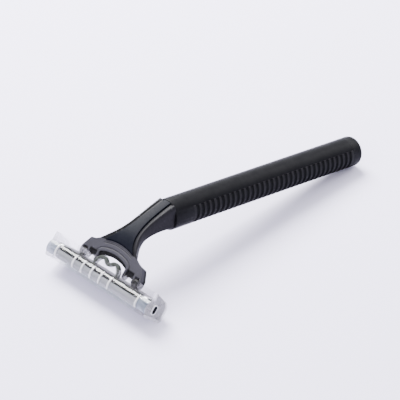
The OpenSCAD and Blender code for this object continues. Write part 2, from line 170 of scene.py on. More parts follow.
class RazorFinishes(bpy.types.PropertyGroup):
    """Colours of the finishes."""

    handle: colour("Handle", "Satin black plastic of the tube", (0.0015, 0.0016, 0.0028))
    grip: colour("Grip", "Soft rubber of the grip", (0.0034, 0.0035, 0.0046))
    yoke: colour("Yoke", "Charcoal plastic of the yoke", (0.0105, 0.0102, 0.0125))
    panel: colour("Panel", "Blue-black plastic of the neck's panel", (0.0026, 0.0034, 0.0068))
    spring: colour("Spring", "Grey-green plastic of the return spring", (0.045, 0.05, 0.046))
    cartridge: colour("Cartridge", "Black plastic of the cartridge", (0.003, 0.003, 0.004))
    steel: colour("Steel", "Brushed steel", (0.62, 0.63, 0.66))
    strip: colour("Strip", "Pale polymer of the lubricating strip", (0.55, 0.72, 0.7))
    guard: colour("Guard", "Blue-grey rubber of the guard", (0.06, 0.065, 0.08))
    clear: colour("Clear", "Clear plastic of the cap", (0.93, 0.92, 0.95))
    frosted: colour("Frosted", "Milky plastic of the cap's band", (0.34, 0.35, 0.38))
    smoky: colour("Smoky", "Blue-grey plastic of the band's ends", (0.2, 0.235, 0.3))
    floor: colour("Floor", "Pale floor", (0.8, 0.765, 0.98))


# Shader groups shared by the finishes


def shader_group(name, inputs, outputs):
    """A shader node group with float inputs (name, default) and float outputs."""
    tree = bpy.data.node_groups.new(name, "ShaderNodeTree")
    for label, default in inputs:
        socket = tree.interface.new_socket(label, in_out="INPUT", socket_type="NodeSocketFloat")
        socket.default_value = default
    for label in outputs:
        tree.interface.new_socket(label, in_out="OUTPUT", socket_type="NodeSocketFloat")
    return tree, tree.nodes.new("NodeGroupInput"), tree.nodes.new("NodeGroupOutput")


def node_of(tree, kind, **values):
    """A node with its settings; values of its inputs are given by index as in_0, in_1."""
    node = tree.nodes.new("ShaderNode" + kind)
    for key, value in values.items():
        if key.startswith("in_"):
            node.inputs[int(key[3:])].default_value = value
        else:
            setattr(node, key, value)
    return node


def noise(tree, source, scale_socket=None, scale=1000.0, detail=3.0, roughness=0.5):
    node = node_of(tree, "TexNoise")
    node.inputs["Scale"].default_value = scale
    node.inputs["Detail"].default_value = detail
    node.inputs["Roughness"].default_value = roughness
    tree.links.new(source, node.inputs["Vector"])
    if scale_socket:
        tree.links.new(scale_socket, node.inputs["Scale"])
    return node


def make_grain():
    """Fine moulded or rubber grain, with a slow change of gloss."""
    tree, given, result = shader_group("Moulded grain", [("Scale", 3500), ("Patch scale", 120)],
                                       ["Height", "Patches"])
    place = node_of(tree, "TexCoord").outputs["Object"]
    fine = noise(tree, place, given.outputs["Scale"], detail=2)
    cells = node_of(tree, "TexVoronoi", feature="F1")
    tree.links.new(place, cells.inputs["Vector"])
    tree.links.new(given.outputs["Scale"], cells.inputs["Scale"])
    blend = node_of(tree, "Math", operation="MULTIPLY_ADD", in_1=0.6)
    tree.links.new(cells.outputs["Distance"], blend.inputs[0])
    tree.links.new(fine.outputs["Fac"], blend.inputs[2])
    patches = noise(tree, place, given.outputs["Patch scale"], detail=4, roughness=0.6)
    tree.links.new(blend.outputs[0], result.inputs["Height"])
    tree.links.new(patches.outputs["Fac"], result.inputs["Patches"])
    return tree


def make_rubbed_and_lit_edges():
    """Mask of the lighter edges, partly rubbed from use and partly painted highlights, broken up by noise."""
    tree, given, result = shader_group("Edge wear", [("Low", 0.52), ("High", 0.62), ("Scale", 900)],
                                       ["Mask"])
    place = node_of(tree, "TexCoord").outputs["Object"]
    edge = node_of(tree, "NewGeometry").outputs["Pointiness"]
    ramp = node_of(tree, "MapRange")
    tree.links.new(edge, ramp.inputs["Value"])
    tree.links.new(given.outputs["Low"], ramp.inputs["From Min"])
    tree.links.new(given.outputs["High"], ramp.inputs["From Max"])
    broken = noise(tree, place, given.outputs["Scale"], detail=3)
    mask = node_of(tree, "Math", operation="MULTIPLY", use_clamp=True)
    tree.links.new(ramp.outputs["Result"], mask.inputs[0])
    tree.links.new(broken.outputs["Fac"], mask.inputs[1])
    tree.links.new(mask.outputs[0], result.inputs["Mask"])
    return tree


def make_dust():
    """Mask of a thin dust on faces that look up, in soft patches."""
    tree, given, result = shader_group("Fine dust", [("Amount", 0.1), ("Scale", 260)], ["Mask"])
    coordinates = node_of(tree, "TexCoord")
    geometry = node_of(tree, "NewGeometry")
    parts = node_of(tree, "SeparateXYZ")
    tree.links.new(geometry.outputs["Normal"], parts.inputs[0])
    up = node_of(tree, "Math", operation="MULTIPLY", use_clamp=True)
    tree.links.new(parts.outputs["Z"], up.inputs[0])
    tree.links.new(given.outputs["Amount"], up.inputs[1])
    patches = noise(tree, coordinates.outputs["Object"], given.outputs["Scale"], detail=6,
                    roughness=0.7)
    mask = node_of(tree, "Math", operation="MULTIPLY", use_clamp=True)
    tree.links.new(up.outputs[0], mask.inputs[0])
    tree.links.new(patches.outputs["Fac"], mask.inputs[1])
    tree.links.new(mask.outputs[0], result.inputs["Mask"])
    return tree


def make_brushed():
    """Fine lines that run across the razor, as on brushed metal or drawn plastic."""
    tree, given, result = shader_group("Drawn lines", [("Scale", 2600)], ["Lines", "Streaks"])
    place = node_of(tree, "TexCoord").outputs["Object"]
    stretch = node_of(tree, "Mapping", in_3=(0.012, 1, 1))
    tree.links.new(place, stretch.inputs["Vector"])
    lines = noise(tree, stretch.outputs[0], given.outputs["Scale"], detail=4, roughness=0.65)
    slow = node_of(tree, "Math", operation="MULTIPLY", in_1=0.25)
    tree.links.new(given.outputs["Scale"], slow.inputs[0])
    streaks = noise(tree, stretch.outputs[0], slow.outputs[0], detail=2)
    tree.links.new(lines.outputs["Fac"], result.inputs["Lines"])
    tree.links.new(streaks.outputs["Fac"], result.inputs["Streaks"])
    return tree


GROUPS = {}


def group_node(tree, name, **values):
    """A shared group placed in a material, with its own values."""
    makers = {"Moulded grain": make_grain, "Edge wear": make_rubbed_and_lit_edges, "Fine dust": make_dust,
              "Drawn lines": make_brushed}
    if name not in GROUPS:
        GROUPS[name] = makers[name]()
    node = tree.nodes.new("ShaderNodeGroup")
    node.node_tree = GROUPS[name]
    for key, value in values.items():
        node.inputs[key.replace("_", " ")].default_value = value
    return node


def mixed(tree, factor, first, second):
    """A colour mix; first and second are colours or sockets."""
    mix = node_of(tree, "Mix", data_type="RGBA")
    tree.links.new(factor, mix.inputs["Factor"])
    for index, value in ((6, first), (7, second)):
        if isinstance(value, bpy.types.NodeSocket):
            tree.links.new(value, mix.inputs[index])
        else:
            mix.inputs[index].default_value = (*value, 1)
    return mix.outputs[2]


def ranged(tree, value, low, high):
    """Maps 0..1 to low..high."""
    ramp = node_of(tree, "MapRange")
    tree.links.new(value, ramp.inputs["Value"])
    ramp.inputs["To Min"].default_value = low
    ramp.inputs["To Max"].default_value = high
    return ramp.outputs["Result"]


def bumped(tree, shader, height, depth):
    bump = node_of(tree, "Bump")
    bump.inputs["Distance"].default_value = depth
    tree.links.new(height, bump.inputs["Height"])
    tree.links.new(bump.outputs["Normal"], shader.inputs["Normal"])


def new_material(name):
    made = bpy.data.materials.new(name)
    made.use_nodes = True
    return made, made.node_tree, made.node_tree.nodes["Principled BSDF"]


def shade(value, factor):
    return tuple(min(1.0, c * factor) for c in value)


def plastic(name, base, rough, grain_scale=3500, grain_depth=2e-5, wear=0.35, dust=0.02,
            specular=0.07, edge_light_from=0.53, matt=1.0):
    """Moulded plastic or rubber with grain, gloss patches, pale edges that are partly rubbed from use
    and partly painted highlights, and a little dust; the last argument multiplies the colour as painted light
    where the piece's own attribute of that name is 1."""
    made, tree, shader = new_material(name)
    grain = group_node(tree, "Moulded grain", Scale=grain_scale, Patch_scale=140)
    edge = group_node(tree, "Edge wear", Low=edge_light_from, High=edge_light_from + 0.1, Scale=700)
    film = group_node(tree, "Fine dust", Amount=dust, Scale=240)
    body = mixed(tree, grain.outputs["Patches"], shade(base, 0.82), shade(base, 1.2))
    # Painted light: a lighter colour where the piece's own attribute marks a lit face
    if matt > 1:
        zone = node_of(tree, "Attribute", attribute_name="matt")
        body = mixed(tree, zone.outputs["Fac"], body, shade(base, matt))
    # Pale edges: partly rubbed from use, partly painted highlights on rims, crests and ridges
    rubbed_and_lit = ranged(tree, edge.outputs["Mask"], 0, wear)
    body = mixed(tree, rubbed_and_lit, body, shade(tuple(c + 0.02 for c in base), 2.6))
    body = mixed(tree, film.outputs["Mask"], body, (0.5, 0.49, 0.5))
    tree.links.new(body, shader.inputs["Base Color"])
    tree.links.new(ranged(tree, grain.outputs["Patches"], rough - 0.07, rough + 0.09),
                   shader.inputs["Roughness"])
    shader.inputs["Specular IOR Level"].default_value = specular
    bumped(tree, shader, grain.outputs["Height"], grain_depth)
    return made


def metal(name, base, rough, line_depth=6e-6):
    """Brushed metal with lines across the razor and slightly darker streaks."""
    made, tree, shader = new_material(name)
    lines = group_node(tree, "Drawn lines", Scale=5200)
    edge = group_node(tree, "Edge wear", Low=0.51, High=0.62, Scale=900)
    body = mixed(tree, lines.outputs["Streaks"], shade(base, 0.75), shade(base, 1.12))
    body = mixed(tree, edge.outputs["Mask"], body, shade(base, 1.35))
    tree.links.new(body, shader.inputs["Base Color"])
    tree.links.new(ranged(tree, lines.outputs["Lines"], rough - 0.08, rough + 0.12),
                   shader.inputs["Roughness"])
    shader.inputs["Metallic"].default_value = 1.0
    bumped(tree, shader, lines.outputs["Lines"], line_depth)
    return made


def clear_plastic(name, base, rough, weight, wave_depth, line_mix, cover=1.0):
    """Clear or milky moulded plastic with flow lines, faint waves and rubbed patches."""
    made, tree, shader = new_material(name)
    grain = group_node(tree, "Moulded grain", Scale=420, Patch_scale=90)
    lines = group_node(tree, "Drawn lines", Scale=1500)
    body = mixed(tree, grain.outputs["Patches"], shade(base, 0.95), shade(base, 1.04))
    streak = ranged(tree, lines.outputs["Lines"], 0, line_mix)
    body = mixed(tree, streak, body, shade(base, 0.72))
    tree.links.new(body, shader.inputs["Base Color"])
    tree.links.new(ranged(tree, lines.outputs["Streaks"], rough * 0.7, rough * 1.4),
                   shader.inputs["Roughness"])
    shader.inputs["IOR"].default_value = 1.49
    shader.inputs["Transmission Weight"].default_value = weight
    shader.inputs["Alpha"].default_value = cover
    bumped(tree, shader, grain.outputs["Height"], wave_depth)
    return made


# The finish of each slot of the record and each zone of the cap: what makes it, its name, its
# tint, how much the tint is darkened, and the maker's own values
FINISHES = {
    # The handle, grip, yoke and panel get strong pale edges, partly rubbed from use and partly painted highlights
    "handle_plastic": (plastic, "Satin black plastic", "handle", 1, dict(
        rough=0.4, grain_scale=4200, grain_depth=1.4e-5, wear=1.0, specular=0.035,
        edge_light_from=0.51)),
    "grip_rubber": (plastic, "Grip rubber", "grip", 1, dict(
        rough=0.56, grain_scale=2600, grain_depth=3.2e-5, wear=1.0, dust=0.03, specular=0.06,
        edge_light_from=0.515)),
    # The yoke's last value paints its upper face 3.9 times lighter, as painted light
    "yoke_plastic": (plastic, "Charcoal plastic", "yoke", 1, dict(
        rough=0.42, grain_scale=3800, grain_depth=1.6e-5, wear=1.0, specular=0.05,
        edge_light_from=0.512, matt=3.9)),
    "panel_plastic": (plastic, "Blue-black plastic", "panel", 1, dict(
        rough=0.3, grain_scale=5200, grain_depth=8e-6, wear=1.0, specular=0.015,
        edge_light_from=0.52)),
    "pin_steel": (metal, "Pin steel", "steel", 1, dict(rough=0.28)),
    "spring_plastic": (plastic, "Spring plastic", "spring", 1, dict(
        rough=0.36, grain_scale=3000, grain_depth=2e-5, wear=0.4)),
    "cartridge_plastic": (plastic, "Cartridge plastic", "cartridge", 1, dict(
        rough=0.36, grain_scale=3600, grain_depth=1.6e-5, wear=0.3)),
    "strip_polymer": (plastic, "Strip polymer", "strip", 1, dict(
        rough=0.45, grain_scale=1800, grain_depth=3e-5, wear=0.1, dust=0.05)),
    "guard_rubber": (plastic, "Guard rubber", "guard", 1, dict(
        rough=0.6, grain_scale=2400, grain_depth=3e-5, wear=0.2)),
    "blade_steel": (metal, "Blade steel", "steel", 1, dict(rough=0.2, line_depth=3e-6)),
    "spacer_metal": (metal, "Spacer metal", "steel", 0.8, dict(rough=0.34)),
    "clear_plastic": (clear_plastic, "Clear plastic", "clear", 1, dict(
        rough=0.05, weight=1.0, wave_depth=1e-5, line_mix=0.1, cover=0.22)),
    "frosted": (clear_plastic, "Milky plastic", "frosted", 1, dict(
        rough=0.2, weight=0.35, wave_depth=1e-5, line_mix=0.5, cover=0.85)),
    "smoky": (clear_plastic, "Smoky plastic", "smoky", 1, dict(
        rough=0.2, weight=0.3, wave_depth=1e-5, line_mix=0.3, cover=0.85)),
    "ribs": (clear_plastic, "Rib plastic", "clear", 1, dict(
        rough=0.3, weight=0.3, wave_depth=1e-5, line_mix=0.1, cover=0.8)),
    "walls": (clear_plastic, "Wall plastic", "clear", 0.9, dict(
        rough=0.25, weight=0.55, wave_depth=1e-5, line_mix=0.1, cover=0.58)),
    "clear_strip": (clear_plastic, "Clear strip", "clear", 1, dict(
        rough=0.06, weight=1.0, wave_depth=5e-6, line_mix=0.2)),
    # The window's inner faces are painted near black: painted shade in the hole
    "window": (plastic, "Window edge", "smoky", 0.06, dict(rough=0.3)),
}
MATERIALS = {}


def finish(slot):
    """The material for a slot of the record or a zone of the cap, built once."""
    if slot not in MATERIALS:
        maker, name, tint, factor, values = FINISHES[slot]
        base = shade(getattr(bpy.context.scene.razor_finishes, tint), factor)
        MATERIALS[slot] = maker(name, base, **values)
    return MATERIALS[slot]


# Mesh helpers


def mm(value):
    """A length property's value in millimetres."""
    return value / MM


def bezier(points, steps=14):
    """Points along a cubic curve."""
    a, b, c, d = (np.array(p, float) for p in points)
    t = np.linspace(0, 1, steps + 1)[:, None]
    return (1 - t) ** 3 * a + 3 * t * (1 - t) ** 2 * b + 3 * t * t * (1 - t) * c + t ** 3 * d


def arc(centre, radius, start, end, steps=8):
    """Points along an arc, angles in degrees."""
    angles = np.radians(np.linspace(start, end, steps + 1))
    return np.array(centre) + radius * np.stack([np.cos(angles), np.sin(angles)], 1)


def chain(bm, points, close=False):
    """Vertices joined one after the other; returns the vertices and edges."""
    verts = [bm.verts.new(p) for p in points]
    pairs = list(zip(verts, verts[1:] + verts[:1])) if close else list(zip(verts, verts[1:]))
    return verts, [bm.edges.new(pair) for pair in pairs]


def move_new(bm, geom, vec):
    """Moves the vertices among newly made geometry."""
    verts = [g for g in geom if isinstance(g, bmesh.types.BMVert)]
    bmesh.ops.translate(bm, vec=vec, verts=verts)


def relax(bm, factor, rounds):
    """Smooths the whole mesh, one round after the other."""
    for _ in range(rounds):
        bmesh.ops.smooth_vert(bm, verts=bm.verts, factor=factor, use_axis_x=True,
                              use_axis_y=True, use_axis_z=True)


def spin_into(bm, profile, middle, angle, steps, close=True):
    """Spins a profile of (radius, distance) about the handle's axis; middle is the swept sector's
    middle, measured from the lower side."""
    full = angle > math.radians(359)
    start = middle if full else middle + angle / 2
    points = [(r * math.sin(start), y, -r * math.cos(start)) for r, y in profile]
    verts, edges = chain(bm, points, close)
    bmesh.ops.spin(bm, geom=verts + edges, cent=(0, 0, 0), axis=(0, 1, 0), angle=angle,
                   steps=steps, use_merge=full)


def closed_turning(bm):
    """Joins spun parts, fills their open ends and turns their faces outwards."""
    bmesh.ops.remove_doubles(bm, verts=bm.verts, dist=1e-4)
    bmesh.ops.holes_fill(bm, edges=[e for e in bm.edges if e.is_boundary], sides=0)
    bmesh.ops.recalc_face_normals(bm, faces=bm.faces)
    return bm


def carried(node, place):
    """A merged copy of a CAD node's mesh, with its flat faces made whole, in local millimetres."""
    bm = bmesh.new()
    bm.from_mesh(frame["nodes"][node].data)
    bm.transform(place.inverted())
    bmesh.ops.remove_doubles(bm, verts=bm.verts, dist=2e-4)
    bmesh.ops.dissolve_degenerate(bm, dist=1e-4, edges=bm.edges)
    bmesh.ops.dissolve_limit(bm, angle_limit=math.radians(1.2), verts=bm.verts, edges=bm.edges)
    return bm


def settled(piece):
    """Applies the piece's modifiers to its mesh."""
    graph = bpy.context.evaluated_depsgraph_get()
    graph.update()
    made = bpy.data.meshes.new_from_object(piece.evaluated_get(graph))
    piece.modifiers.clear()
    piece.data = made
    return piece


def loose_object(name, bm):
    """An object from a bmesh, linked to the scene."""
    mesh = bpy.data.meshes.new(name)
    bm.to_mesh(mesh)
    bm.free()
    piece = bpy.data.objects.new(name, mesh)
    bpy.context.scene.collection.objects.link(piece)
    return piece


def soften(piece, width, segments=3, angle=32):
    """Rounds the edges sharper than angle."""
    rounding = piece.modifiers.new("Rounded edges", "BEVEL")
    rounding.width = width * MM
    rounding.segments = segments
    rounding.limit_method = "ANGLE"
    rounding.angle_limit = math.radians(angle)
    rounding.harden_normals = True
    rounding.use_clamp_overlap = True


def make_piece(name, bm, place, body, slot, nodes, width=0.1, segments=3, angle=32, sharp=40):
    """Places a bmesh in the row frame as a finished piece that stands for CAD nodes."""
    bm.transform(place)
    piece = loose_object(name, bm)
    piece.data.shade_smooth()
    piece.data.set_sharp_from_angle(angle=math.radians(sharp))
    piece.data.materials.append(finish(slot))
    if width:
        soften(piece, width, segments, angle)
    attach(piece, body)
    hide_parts(*nodes)
    return piece


def carry_piece(node, slot, width, segments=2, angle=35):
    """Adds a piece of the cartridge in its exact shape, with softened edges."""
    make_piece(node + "_piece", carried(node, HEAD), HEAD, "cartridge", slot, [node], width,
               segments, angle)


# Neck surface: a flat pattern of (across, along, depth) wrapped round the neck's side profile


YOKE_T = 2.6     # thickness of the yoke
TAPER_FROM = 3   # height above the pivot where the yoke's back starts to draw in


class NeckSurface:
    """Wraps flat points onto the neck. Along runs from the forks' tips up to the handle's rim."""

    def __init__(self, sizes):
        self.crown = mm(sizes.crown)
        self.half_t = YOKE_T / 2
        self.shoulder = 4.9
        self.back_top = self.shoulder + 0.4
        radius = tube_high.x
        run = self.head_point(0, 1) - self.head_point(0, 0)
        front = self.head_point(-self.half_t, self.crown)
        back = self.head_point(self.half_t, self.back_top)
        top = [(0, radius - 0.45), (-5.4, radius - 2.3), front + 4.3 * run, front]
        under = [(0, -3.4), (-6, -2.6), back + 5 * run, back]
        self.top, self.under = bezier(top, 80)[::-1], bezier(under, 80)[::-1]
        steps = np.linalg.norm(np.diff(self.top, axis=0), axis=1)
        self.along = self.crown + np.concatenate([[0], np.cumsum(steps)])
        self.end = self.along[-1]

    def head_point(self, y, z):
        """(y, z) in the handle frame of a point given in the head frame."""
        point = HEAD_IN_HANDLE @ Vector((0, y, z))
        return np.array((point.y, point.z))

    def sides(self, along):
        """Upper and under side points, (y, z), for distances along the flat pattern."""
        origin = self.head_point(0, 0)
        run = self.head_point(0, 1) - origin
        depth = self.head_point(1, 0) - origin
        flat = np.minimum(along, self.crown)
        top = origin - self.half_t * depth + flat[:, None] * run
        share = np.clip((flat - TAPER_FROM) / (self.crown - TAPER_FROM), 0, 1)
        rise = (self.back_top - TAPER_FROM) * (2 * share - share ** 2)
        back = np.minimum(flat, TAPER_FROM) + rise
        under = origin + self.half_t * depth + back[:, None] * run
        curved = along > self.crown
        for column in (0, 1):
            top[curved, column] = np.interp(along[curved], self.along, self.top[:, column])
            under[curved, column] = np.interp(along[curved], self.along, self.under[:, column])
        return top, under

    def wrap(self, across, along, share, sink_top, sink_under):
        """Handle-frame points for flat ones; share is 0 on the upper side, 1 on the under side."""
        top, under = self.sides(along)
        reach = np.linalg.norm(under - top, axis=1)
        depth = sink_top + share * (reach - sink_top - sink_under)
        points = top + (under - top) / reach[:, None] * depth[:, None]
        return np.column_stack([across, points])


def smooth_step(value, low, high):
    t = np.clip((value - low) / (high - low), 0, 1)
    return t * t * (3 - 2 * t)


def outer_edge(neck):
    """Right edge of the flat pattern, (across, along), from the fork's foot up to the rim."""
    fork = yoke_high.x
    shoulder = fork - 1.5
    return np.concatenate([
        [(fork, -neck.half_t), (fork, 1.3)],
        arc((shoulder - 1.1, neck.shoulder - 0.9), 1.15, 14, 72, 5),
        bezier([(shoulder - 2.2, 5.4), (8.9, 6.1), (7.7, 6.9), (6.9, 8.2)], 10),
        bezier([(6.9, 8.2), (6.0, 9.8), (4.4, 12.2), (3.85, 15.4)], 10)[1:],
        bezier([(3.85, 15.4), (3.5, 18.4), (3.7, 21.5), (4.1, neck.end)], 10)[1:],
    ])


def arch_edge(sizes, drop):
    """Right half of the arch, (across, along), from the crown to the finger's inner side."""
    w, h = mm(sizes.arch_half_w), mm(sizes.arch_h)
    curve = [(0, h - drop), (2.6, h - drop), (w - 0.6, 0.8 * h - drop), (w, 0.6 * h - drop)]
    return bezier(curve, 12)


def panel_front(across):
    """Distance along the pattern of the panel's curved front edge."""
    return 7.6 - 0.027 * np.square(across)


PANEL_ALONG = (6.4, 7.2, 8.2, 9.4, 11, 13, 15.5, 19, 27)
PANEL_HALF = (6.6, 5.8, 4.8, 3.95, 3.2, 2.6, 2.15, 1.8, 1.55)


def panel_half(along):
    """Half width of the panel at a distance along the pattern."""
    fine = np.linspace(PANEL_ALONG[0], PANEL_ALONG[-1], 300)
    coarse = np.interp(fine, PANEL_ALONG, PANEL_HALF)
    kernel = np.hanning(31)
    padded = np.pad(coarse, 15, mode="edge")
    return np.interp(along, fine, np.convolve(padded, kernel / kernel.sum(), mode="valid"))


SLOT_W = 1.8     # width of the slot in each fork
SLOT_TOP = 1.6   # height of the slot's end above the pivot
FOOT_R = 1.42    # rounding of the legs' feet about the pivot


def leg_sides(sizes):
    """Distances across, from the middle outwards, of the sides of the finger and the fork."""
    leg, finger_in = mm(sizes.leg_t), mm(sizes.arch_half_w)
    leg_out = yoke_high.x - leg
    slot_in = leg_out - SLOT_W
    return finger_in, finger_in + leg, slot_in - leg, slot_in, leg_out


def yoke_layers(sizes, neck, edge):
    """The flat pattern in two layers, joined into one mesh: an upper one with a full arch and
    open pockets, and an under one with a lower arch and a web behind the pockets."""
    finger_in, finger_out, fork_in, slot_in, leg_out = leg_sides(sizes)
    foot = -neck.half_t
    bm = bmesh.new()
    for drop, low, high, web in ((0, 0, 1.0, 2.1), (1.1, 0.8, YOKE_T, mm(sizes.web_h))):
        right = np.concatenate([
            arch_edge(sizes, drop),
            [(finger_in, foot), (finger_out, foot), (finger_out, web), (fork_in, web),
             (fork_in, foot), (slot_in, foot), (slot_in, SLOT_TOP), (leg_out, SLOT_TOP),
             (leg_out, foot)],
            edge,
        ])
        left = right[::-1] * (-1, 1)
        outline = np.concatenate([right, left[:-1]])
        verts, _ = chain(bm, [(x, v, low) for x, v in outline], close=True)
        face = bm.faces.new(verts)
        raised = bmesh.ops.extrude_face_region(bm, geom=[face])["geom"]
        move_new(bm, raised, (0, 0, high - low))
    bmesh.ops.recalc_face_normals(bm, faces=bm.faces)
    bmesh.ops.triangulate(bm, faces=bm.faces)
    piece = loose_object("neck_yoke_piece", bm)
    joined = piece.modifiers.new("Joined layers", "REMESH")
    joined.mode = "VOXEL"
    joined.voxel_size = mm(sizes.grain)
    return settled(piece)


def yoke_relief(sizes, edge, across, along, share):
    """How far each point sinks from the upper and the under side, and how much painted light it gets."""
    finger_in, finger_out, fork_in, _, _ = leg_sides(sizes)
    side = np.abs(across)
    limit = np.interp(along, edge[:, 1], edge[:, 0])

    # The shelf that holds the panel, and the fall from it to the neck's edge
    half = panel_half(along)
    room = np.maximum(limit - half, 0.4)
    shelf = np.minimum(1.15, 0.4 * room)
    beyond = side - half
    on_neck = smooth_step(along - panel_front(np.minimum(side, 6.4)), -0.12, 0.1)
    ridge = smooth_step(beyond, shelf - 0.12, shelf + 0.14)
    sink = on_neck * mm(sizes.pocket) * (1 - ridge)
    fall = np.clip((beyond - shelf - 0.55) / np.maximum(room - shelf - 0.55, 0.3), 0, 1)
    edge_drop = 2.45 * smooth_step(along, 7.0, 14.5)
    sink = sink + edge_drop * (1 - np.sqrt(1 - np.square(fall) * 0.999))

    # The lines that follow the arch's front edge and the panel's
    line = np.concatenate([arch_edge(sizes, 0),
                           [(finger_in, 1.2), (finger_in, 0), (finger_in, -YOKE_T / 2)]])
    gaps = np.hypot(side[:, None] - line[None, :, 0], along[:, None] - line[None, :, 1])
    from_arch = gaps.min(1)
    yoke_face = 1 - on_neck
    groove = np.exp(-np.square((from_arch - 1.3) / 0.13))
    outside = smooth_step(from_arch, 1.3, 1.45)
    steps = sum(np.exp(-np.square((panel_front(across) - along - offset) / 0.12))
                for offset in (0.42, 0.95))
    near = smooth_step(6.9 - side, 0, 1.2) * smooth_step(from_arch, 1.5, 1.8)
    sink = sink + yoke_face * (0.42 * groove + 0.14 * outside + 0.34 * steps * near)

    # The under side's rounding along the neck
    under_fall = np.clip((side - limit + 1.1) / 1.1, 0, 1)
    rounded = 0.9 * (1 - np.sqrt(1 - np.square(under_fall) * 0.999))
    sink_under = smooth_step(along, 6, 12) * rounded

    # Painted light on the yoke's upper face, as if lit; its lines, the arch's opening and the pockets stay dark as
    # painted shade
    lip = np.interp(side, line[:, 0], line[:, 1])
    opening = smooth_step(lip - along, -0.2, 0.0)
    opening *= smooth_step(finger_in + 0.15 - side, -0.05, 0.1)
    in_pocket = smooth_step(2.3 - along, 0, 0.2) * smooth_step(side - finger_out, -0.1, 0.1)
    in_pocket *= smooth_step(fork_in - side, -0.1, 0.1)
    matt = yoke_face * smooth_step(-share, -0.55, -0.4) * (1 - 0.85 * groove)
    matt *= 1 - 0.8 * np.clip(steps * near, 0, 1)
    matt *= (1 - opening) * (1 - in_pocket)
    return sink, sink_under, matt


def build_yoke(sizes):
    """The neck and yoke: two flat layers joined, shaped and wrapped, with the spigot added."""
    neck = NeckSurface(sizes)
    edge = outer_edge(neck)
    piece = yoke_layers(sizes, neck, edge)
    bm = bmesh.new()
    bm.from_mesh(piece.data)
    relax(bm, 0.5, 3)
    flat = np.array([v.co for v in bm.verts])
    across, along, share = flat[:, 0], flat[:, 1], np.clip(flat[:, 2] / YOKE_T, 0, 1)
    foot_share = np.sqrt(np.clip(1 - np.square(np.minimum(along, 0) / FOOT_R), 0.05, 1))
    share = 0.5 + (share - 0.5) * foot_share
    sink, sink_under, matt = yoke_relief(sizes, edge, across, along, share)
    wrapped = neck.wrap(across, along, share, sink, sink_under)
    for vert, point in zip(bm.verts, wrapped):
        vert.co = point
    relax(bm, 0.4, 2)
    spigot = bmesh.ops.create_cone(bm, cap_ends=True, segments=48, radius1=2.48, radius2=2.3,
                                   depth=8)["verts"]
    bmesh.ops.rotate(bm, verts=spigot, cent=(0, 0, 0),
                     matrix=Matrix.Rotation(math.radians(-90), 3, "X"))
    bmesh.ops.translate(bm, verts=spigot, vec=(0, 3, 0))
    bm.transform(HANDLE)
    bm.to_mesh(piece.data)
    bm.free()
    piece.data.shade_smooth()
    # Painted light: this attribute marks the yoke's lit upper face, and leaves its lines and pockets as painted
    # shade
    zone = piece.data.attributes.new("matt", "FLOAT", "POINT")
    zone.data.foreach_set("value", np.pad(matt, (0, len(zone.data) - len(matt))))
    return piece


def build_panel(sizes):
    """The raised panel: a grid spread over its outline, thickened, rounded and wrapped."""
    neck = NeckSurface(sizes)
    bm = bmesh.new()
    bmesh.ops.create_grid(bm, x_segments=16, y_segments=56, size=1)
    rise, seat = mm(sizes.panel_rise), mm(sizes.pocket)
    for vert in bm.verts:
        share = (vert.co.y + 1) / 2
        half = float(panel_half(np.array([6.55 + share * (neck.end - 6.6)]))[0])
        across = vert.co.x * (half - 0.1)
        front = float(panel_front(across)) + 0.05
        vert.co = (across, front + share * (neck.end - 0.05 - front), -rise)
    for face in bm.faces:
        face.smooth = True
    raised = bmesh.ops.extrude_face_region(bm, geom=bm.faces[:])["geom"]
    move_new(bm, raised, (0, 0, rise + seat - 0.02))
    bmesh.ops.recalc_face_normals(bm, faces=bm.faces)
    rim = [e for e in bm.edges if len(e.link_faces) == 2 and e.calc_face_angle() > 1
           and e.verts[0].co.z < 0 and e.verts[1].co.z < 0]
    bmesh.ops.bevel(bm, geom=rim, offset=0.16, offset_type="OFFSET", affect="EDGES", segments=3,
                    profile=0.5, material=-1, clamp_overlap=True)
    flat = np.array([v.co for v in bm.verts])
    crown = 0.12 * np.square(np.clip(np.abs(flat[:, 0]) / panel_half(flat[:, 1]), 0, 1))
    top, under = neck.sides(flat[:, 1])
    reach = np.linalg.norm(under - top, axis=1)
    points = top + (under - top) / reach[:, None] * (flat[:, 2] + crown)[:, None]
    for vert, point in zip(bm.verts, points):
        vert.co = (vert.co.x, point[0], point[1])
    bmesh.ops.recalc_face_normals(bm, faces=bm.faces)
    return bm


# Operators: one for each piece or group of like pieces


class RazorPart:
    """Settings shared by the razor's operators."""

    bl_options = {"REGISTER", "UNDO"}


class RAZOR_OT_handle_tube(RazorPart, bpy.types.Operator):
    """Adds the handle's tube with its rounded rim and the recess for the grip"""

    bl_idname = "razor.handle_tube"
    bl_label = "Handle tube"

    def execute(self, context):
        sizes = context.scene.razor_handle
        radius, bore, rim = mm(sizes.radius), mm(sizes.bore), mm(sizes.rim_round)
        inner = radius - mm(sizes.grip_t)
        front = [(bore, 0), *arc((radius - rim, rim), rim, -90, 0, 5), (radius, grip_low.y)]
        back = [(radius, grip_high.y), (radius, tube_high.y), (bore, tube_high.y)]
        bm = bmesh.new()
        recess = [(inner, grip_low.y), (inner, grip_high.y)]
        spin_into(bm, front + recess + back, 0, sizes.wrap, 100)
        spin_into(bm, front + back, math.pi, math.tau - sizes.wrap, 44)
        closed_turning(bm)
        make_piece("handle_tube_piece", bm, HANDLE, "handle", "handle_plastic", ["handle_tube"],
                   0.09)
        return {"FINISHED"}


